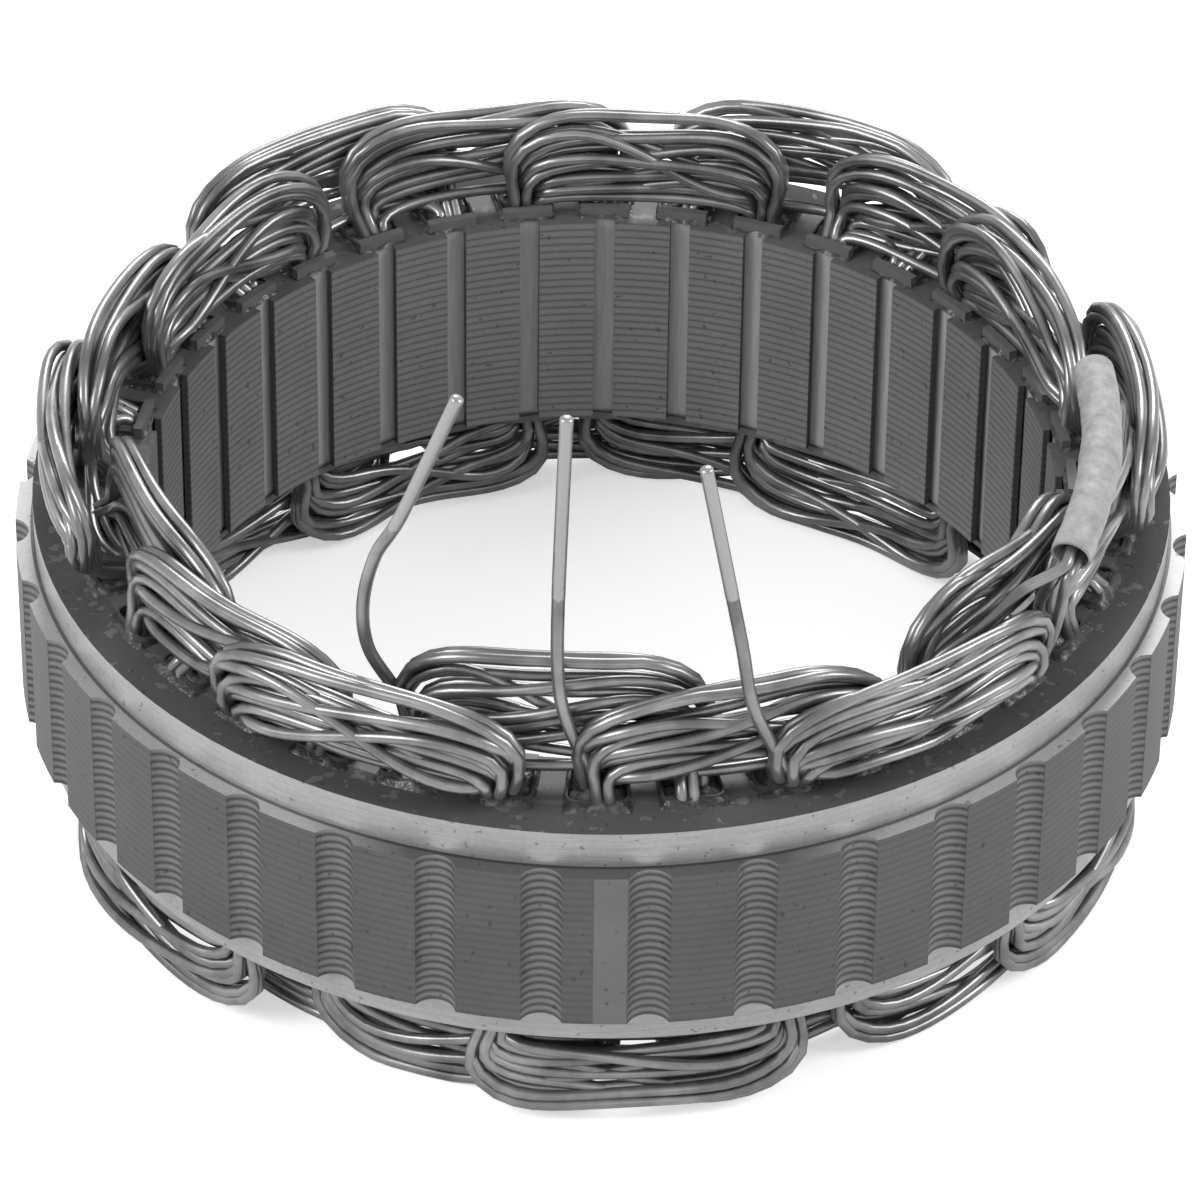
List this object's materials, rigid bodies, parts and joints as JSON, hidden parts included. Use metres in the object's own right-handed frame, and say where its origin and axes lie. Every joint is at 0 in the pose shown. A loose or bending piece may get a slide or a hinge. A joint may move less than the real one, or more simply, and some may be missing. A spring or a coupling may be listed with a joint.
{
  "type": "wound alternator stator with lamination stack",
  "caption": "Ring stack of slotted steel sheets with fluted outside and round registers, wound with three phases of enamelled wire, lead wires standing up.",
  "frame": {"origin": "on the bore axis at the lowest point of the lower end turns, where the part rests", "axes": "+Z along the bore axis towards the lead wires, -Y to the side where the leads stand, +X to the right seen from there"},
  "size_m": [0.133, 0.133, 0.092],
  "materials": {
    "steel_sheet": "satin",
    "liner_paper": "matte",
    "wedge_fibre": "satin",
    "enamelled_wire": "gloss",
    "woven_sleeve": "matte",
    "tinned_wire": "satin"
  },
  "bodies": {
    "root": {"lamination_stack": "steel_sheet", "slot_liners": "liner_paper", "slot_wedge_01": "wedge_fibre", "slot_wedge_02": "wedge_fibre", "slot_wedge_03": "wedge_fibre", "slot_wedge_04": "wedge_fibre", "slot_wedge_05": "wedge_fibre", "slot_wedge_06": "wedge_fibre", "slot_wedge_07": "wedge_fibre", "slot_wedge_08": "wedge_fibre", "slot_wedge_09": "wedge_fibre", "slot_wedge_10": "wedge_fibre", "slot_wedge_11": "wedge_fibre", "slot_wedge_12": "wedge_fibre", "slot_wedge_13": "wedge_fibre", "slot_wedge_14": "wedge_fibre", "slot_wedge_15": "wedge_fibre", "slot_wedge_16": "wedge_fibre", "slot_wedge_17": "wedge_fibre", "slot_wedge_18": "wedge_fibre", "slot_wedge_19": "wedge_fibre", "slot_wedge_20": "wedge_fibre", "slot_wedge_21": "wedge_fibre", "slot_wedge_22": "wedge_fibre", "slot_wedge_23": "wedge_fibre", "slot_wedge_24": "wedge_fibre", "slot_wedge_25": "wedge_fibre", "slot_wedge_26": "wedge_fibre", "slot_wedge_27": "wedge_fibre", "slot_wedge_28": "wedge_fibre", "slot_wedge_29": "wedge_fibre", "slot_wedge_30": "wedge_fibre", "slot_wedge_31": "wedge_fibre", "slot_wedge_32": "wedge_fibre", "slot_wedge_33": "wedge_fibre", "slot_wedge_34": "wedge_fibre", "slot_wedge_35": "wedge_fibre", "slot_wedge_36": "wedge_fibre", "inner_phase_winding": "enamelled_wire", "middle_phase_winding": "enamelled_wire", "outer_phase_winding": "enamelled_wire", "neutral_sleeve": "woven_sleeve", "neutral_joint": "tinned_wire"}
  },
  "joints": []
}
